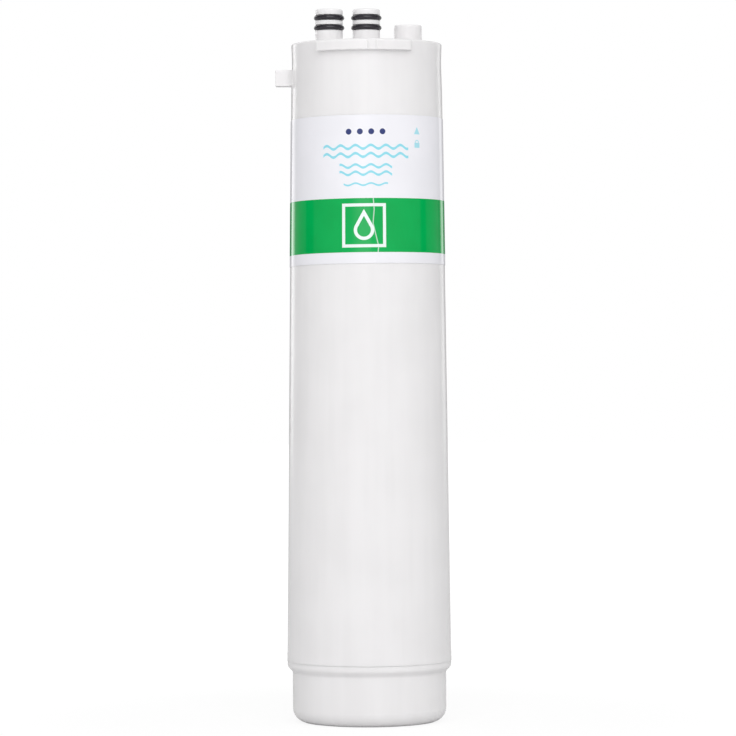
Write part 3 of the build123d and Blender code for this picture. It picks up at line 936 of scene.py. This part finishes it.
arrow_sides = abs(u - LOCK_U) * ARROW_SLOPE + (v - ARROW_Z)
arrow = ink(arrow_sides.either(ARROW_Z - ARROW_HEIGHT - v) - ARROW_GROWTH)
padlock = ink(box_distance(u, v, (LOCK_U, PADLOCK_Z), PADLOCK_HALF))
shackle_ring = disc_distance(u, v, (LOCK_U, PADLOCK_Z + SHACKLE_RISE), SHACKLE_R)
shackle = ink(abs(shackle_ring) - SHACKLE_STROKE)
mark_mask = arrow.either(padlock).either(shackle)
print("lock marks stand", LOCK_U, "mm to the right of the front")

# %% White film
FILM_LIGHT = (0.885, 0.88, 0.925)
FILM_DARK = (0.865, 0.862, 0.905)
WAVE_BLUE = (0.29, 0.72, 0.83)
DOT_BLUE = (0.045, 0.06, 0.19)
MARK_SHARE = 0.8
PULL_STRETCH = (1, 1, 0.3)

cloud = grain(start, scale=60)
paper = cloud.rise(*TONE_SPREAD).tint(FILM_DARK, FILM_LIGHT)
printed = wave_mask.either(MARK_SHARE * mark_mask).tint(paper, WAVE_BLUE)
printed = dot_mask.tint(printed, DOT_BLUE)
pull = grain(start, scale=45, stretch=PULL_STRETCH)
close_finish(
    start,
    Base_Color=printed,
    Roughness=0.3 + 0.08 * cloud,
    Specular_IOR_Level=0.0,
    Coat_Weight=0.6,
    Coat_Roughness=0.06,
    Normal=bump(start, pull, depth_mm=0.05),
)
film.data.materials.append(white_film)

# %% [markdown]
# ## Green band
# The band carries a white frame with an outlined drop in it. The drop is a disc below and a cone above,
# which meet where the cone touches the disc, and its outline is what lies within one stroke of the edge.
# Along the fold a pale line is painted into the green: a painted highlight where the raised fold catches
# the light.

# %% Painted highlight along the fold
def fold_distance(u, v):
    """Distance from the fold, whose path bends at each kink by the change of its slope."""
    path, slope = FOLD_PATH[0][1], 0.0
    for (low_z, low_u), (high_z, high_u) in zip(FOLD_PATH, FOLD_PATH[1:]):
        turn = (high_u - low_u) / (high_z - low_z) - slope
        slope += turn
        path = path + turn * (v - low_z).either(0.0)
    return abs(u - path)


print("kinks in the fold:", len(FOLD_PATH) - 2)

# %% Green band
GREEN_LIGHT = (0.001, 0.427, 0.09)
GREEN_DARK = (0.001, 0.402, 0.083)
BAND_WHITE = (0.86, 0.93, 0.92)
FRAME_CENTRE, FRAME_HALF, FRAME_STROKE = (-1.5, 228.9), 10.0, 1.4
DROP_CENTRE, DROP_R, DROP_TIP_Z, DROP_STROKE = (-1.5, 226.8), 4.6, 236.3, 1.5
# Share and soft edge of the painted highlight along the fold
FOLD_HIGHLIGHT_SHARE, FOLD_HIGHLIGHT_EDGE = 0.65, (0.08, 0.34)

green_band, start = new_finish("label_green")
u, v = strip_place(start)
edge = box_distance(u, v, FRAME_CENTRE, (FRAME_HALF, FRAME_HALF))
frame_mask = ink(abs(edge + FRAME_STROKE / 2) - FRAME_STROKE / 2)
tip_sine = DROP_R / (DROP_TIP_Z - DROP_CENTRE[1])
tip_cosine = sqrt(1 - tip_sine * tip_sine)
disc = disc_distance(u, v, DROP_CENTRE, DROP_R)
cone = abs(u - DROP_CENTRE[0]) * tip_cosine - (DROP_TIP_Z - v) * tip_sine
above = (v - (DROP_CENTRE[1] + DROP_R * tip_sine)).rise(-INK_EDGE, INK_EDGE)
drop = disc + above * (cone - disc)
drop_mask = ink(abs(drop + DROP_STROKE / 2) - DROP_STROKE / 2)
cloud = grain(start, scale=70)
green = cloud.rise(*TONE_SPREAD).tint(GREEN_DARK, GREEN_LIGHT)
# Painted highlight: white mixed into the green along the fold, standing in for the light the fold catches
painted_fold_highlight = FOLD_HIGHLIGHT_SHARE * (1 - fold_distance(u, v).rise(*FOLD_HIGHLIGHT_EDGE))
green = painted_fold_highlight.tint(green, BAND_WHITE)
pull = grain(start, scale=45, stretch=PULL_STRETCH)
close_finish(
    start,
    Base_Color=frame_mask.either(drop_mask).tint(green, BAND_WHITE),
    Roughness=0.35 + 0.08 * cloud,
    Coat_Weight=1.0,
    Coat_Roughness=0.05,
    Specular_IOR_Level=0.0,
    Normal=bump(start, pull, depth_mm=0.05),
)
band.data.materials.append(green_band)

# %% [markdown]
# ## What is sealed inside
# Nothing of the inside shows, yet anyone who cuts the part open should find it finished: natural white
# mouldings, the wound leaves with their fine layers, the taped wrap and the squeezed seals. These keep
# their CAD shapes.

# %% Inner finishes
NATURAL_LIGHT, NATURAL_DARK = (0.8, 0.8, 0.78), (0.74, 0.74, 0.71)
LEAF_LIGHT, LEAF_DARK = (0.84, 0.83, 0.78), (0.62, 0.6, 0.54)
TAPE_LIGHT, TAPE_DARK = (0.74, 0.76, 0.8), (0.66, 0.68, 0.73)
LEAVES_TO_THE_METRE = 2600.0
STRAND_STRETCH = (1, 1, 0.05)
WIDE_SPREAD = (0.3, 0.7)

inner_moulding, start = new_finish("inner_moulding")
cloud = grain(start, scale=60)
close_finish(
    start,
    Base_Color=cloud.rise(*WIDE_SPREAD).tint(NATURAL_DARK, NATURAL_LIGHT),
    Roughness=0.42 + 0.12 * cloud,
    Normal=bump(start, grain(start, scale=1400), depth_mm=0.012),
)

membrane_leaves, start = new_finish("membrane_leaves")
place = start.node("TexCoord", output="Object")
x, y = [start.node("SeparateXYZ", sockets={0: place}, output=side) for side in "XY"]
from_axis = (x * x + y * y) ** 0.5
layer = 0.5 + 0.5 * (from_axis * (2 * pi * LEAVES_TO_THE_METRE)).sine()
close_finish(
    start,
    Base_Color=(0.7 * layer + 0.3 * grain(start, scale=900)).tint(LEAF_DARK, LEAF_LIGHT),
    Roughness=0.75 + 0.15 * layer,
    Normal=bump(start, layer, depth_mm=0.05),
)

roll_tape, start = new_finish("roll_tape")
strand = grain(start, scale=900, stretch=STRAND_STRETCH)
close_finish(
    start,
    Base_Color=strand.rise(*WIDE_SPREAD).tint(TAPE_DARK, TAPE_LIGHT),
    Roughness=0.25 + 0.2 * strand,
    Normal=bump(start, strand, depth_mm=0.03),
)

# %% Finishes on the inner nodes
inside = {
    inner_moulding: ["flow_adaptor", "product_tube", "bottom_end_ring", "tube_end_plug"],
    membrane_leaves: ["membrane_roll"],
    roll_tape: ["roll_wrap"],
    black_rubber: [
        "adaptor_product_o_ring_upper",
        "adaptor_product_o_ring_lower",
        "adaptor_drain_o_ring",
        "tube_o_ring_upper",
        "tube_o_ring_lower",
        "plug_o_ring",
        "brine_seal",
    ],
}
for finish, names in inside.items():
    for name in names:
        node_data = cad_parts[name].data
        node_data.materials.clear()
        node_data.materials.append(finish)
print("inner nodes finished:", sum(len(names) for names in inside.values()))

# %% [markdown]
# ## The floor
# The cartridge stands on a white floor. A floor that is only lit would come out grey in places, and one
# that only glows would show no shadow. So for the camera the floor is mostly plain white, with enough of
# its own shade left to show where the foot meets it.

# %% Floor
FLOOR_HALF = 6.0
FLOOR_WHITE = (0.75, 0.75, 0.75)
FLOOR_PLAIN_SHARE = 0.8
FLOOR_GLOW = 1.08
FLOOR_SHADE_REACH = (0.1, 0.4)


def light_path(start, *kinds):
    """Wires that are 1 for rays of these kinds and 0 for others."""
    return [start.node("LightPath", output=f"Is {kind} Ray") for kind in kinds]


floor_mesh = bmesh.new()
bmesh.ops.create_grid(floor_mesh, x_segments=4, y_segments=4, size=FLOOR_HALF)
floor_data = bpy.data.meshes.new("studio_floor")
floor_mesh.to_mesh(floor_data)
floor_mesh.free()
floor = bpy.data.objects.new("studio_floor", floor_data)
bpy.context.scene.collection.objects.link(floor)

floor_white, start = new_finish("floor_white")
camera_ray, through_ray = light_path(start, "Camera", "Transmission")
place = start.node("TexCoord", output="Object")
from_foot = start.node("VectorMath", {"operation": "LENGTH"}, {0: place}, output=1)
plain_share = FLOOR_PLAIN_SHARE + (1 - FLOOR_PLAIN_SHARE) * from_foot.rise(*FLOOR_SHADE_REACH)
seen = camera_ray.either(through_ray)
lit = start.node("BsdfDiffuse", sockets={"Color": (*FLOOR_WHITE, 1)})
plain = start.node("Emission", sockets={"Color": (1, 1, 1, 1), "Strength": FLOOR_GLOW})
mixed = start.node("MixShader", sockets={0: seen * plain_share, 1: lit, 2: plain})
start.node("OutputMaterial", sockets={"Surface": mixed})
floor_data.materials.append(floor_white)
print("floor in m:", 2 * FLOOR_HALF, "across")

# %% [markdown]
# ## The room
# A pale room gives soft light from all round. Glossy film needs something to mirror, so gloss alone sees
# walls. They are dim, and dark at both sides. Bright panels behind the cartridge draw the streaks near
# the label's edges, and one in front draws the streak down its middle. A soft panel high in front gives
# the O-rings their shine.

# %% Walls that gloss mirrors
# Bearing in degrees and level: 0 is towards the camera, negative on its left, 180 behind the cartridge
WALLS = [
    (-180, 0.12), (-156, 0.12), (-152.5, 2.6), (-149, 2.6), (-145, 2.1), (-140, 1.5),
    (-135, 0.45), (-120, 0.26), (-106, 0.16), (-102, 0.0), (-89, 0.0), (-85, 0.16),
    (-60, 0.27), (-24, 0.35), (-10, 1.25), (3, 1.25), (6, 0.5), (30, 0.4),
    (60, 0.3), (84, 0.22), (88, 0.0), (96, 0.0), (100, 0.17), (130, 0.3),
    (134, 0.14), (139, 0.14), (143.5, 1.4), (152.5, 1.7), (155.5, 0.2), (180, 0.2),
]
wall_stops = [(0.5 + bearing_deg / 360, level) for bearing_deg, level in WALLS]
print("stops round the room:", len(wall_stops))

# %% Room light
ROOM_LEVEL = 0.72
GLINT_LEVEL = 3.2
GLINT_LOW, GLINT_HIGH = (0.3, 0.38), (0.56, 0.64)
GLINT_BEARING, GLINT_SPREAD = 0.2, (0.35, 0.6)

world = bpy.data.worlds.new("studio_room")
bpy.context.scene.world = world
world.use_nodes = True
world.node_tree.nodes.clear()
start = Wire(world.node_tree)
toward = start.node("TexCoord", output="Generated")
x, y, z = [start.node("SeparateXYZ", sockets={0: toward}, output=side) for side in "XYZ"]
bearing = x.math("ARCTAN2", x, -1 * y)
walls = start.node("ValToRGB", {"stops": wall_stops}, {"Fac": 0.5 + bearing / (2 * pi)})
camera_ray, glossy_ray, through_ray = light_path(start, "Camera", "Glossy", "Transmission")
strength = ROOM_LEVEL + glossy_ray * (walls - ROOM_LEVEL)
glint_height = z.rise(*GLINT_LOW) * (1 - z.rise(*GLINT_HIGH))
glint = glint_height * (1 - abs(bearing - GLINT_BEARING).rise(*GLINT_SPREAD))
strength = strength + glossy_ray * GLINT_LEVEL * glint
seen = camera_ray.either(through_ray)
strength = strength + seen * (1 - strength)
background = start.node("Background", sockets={"Color": (1, 1, 1, 1), "Strength": strength})
start.node("OutputWorld", sockets={"Surface": background})
print("nodes of the room:", len(world.node_tree.nodes))

# %% [markdown]
# ## The panel
# One large soft panel in front, above the camera, shapes the barrel. A smaller one would throw hard
# shadows under the lug. Gloss doesn't see it, because on the film it would draw a square patch.

# %% Panel
PANEL_PLACE, PANEL_AIM = (0.06, -1.5, 0.8), (0, 0, 0.17)
PANEL_SIZE, PANEL_POWER = 1.6, 12.5

panel_light = bpy.data.lights.new("front_panel", "AREA")
panel_light.shape = "SQUARE"
panel_light.size = PANEL_SIZE
panel_light.energy = PANEL_POWER
panel = bpy.data.objects.new("front_panel", panel_light)
panel.location = PANEL_PLACE
panel.rotation_euler = (Vector(PANEL_AIM) - Vector(PANEL_PLACE)).to_track_quat("-Z", "Y").to_euler()
panel.visible_glossy = False
bpy.context.scene.collection.objects.link(panel)
print("panel in m:", PANEL_SIZE, "across")

# %% [markdown]
# ## Closing
# The picture uses the plain Standard view, so a colour shows about as it is written.

# %% View
bpy.context.scene.view_settings.view_transform = "Standard"
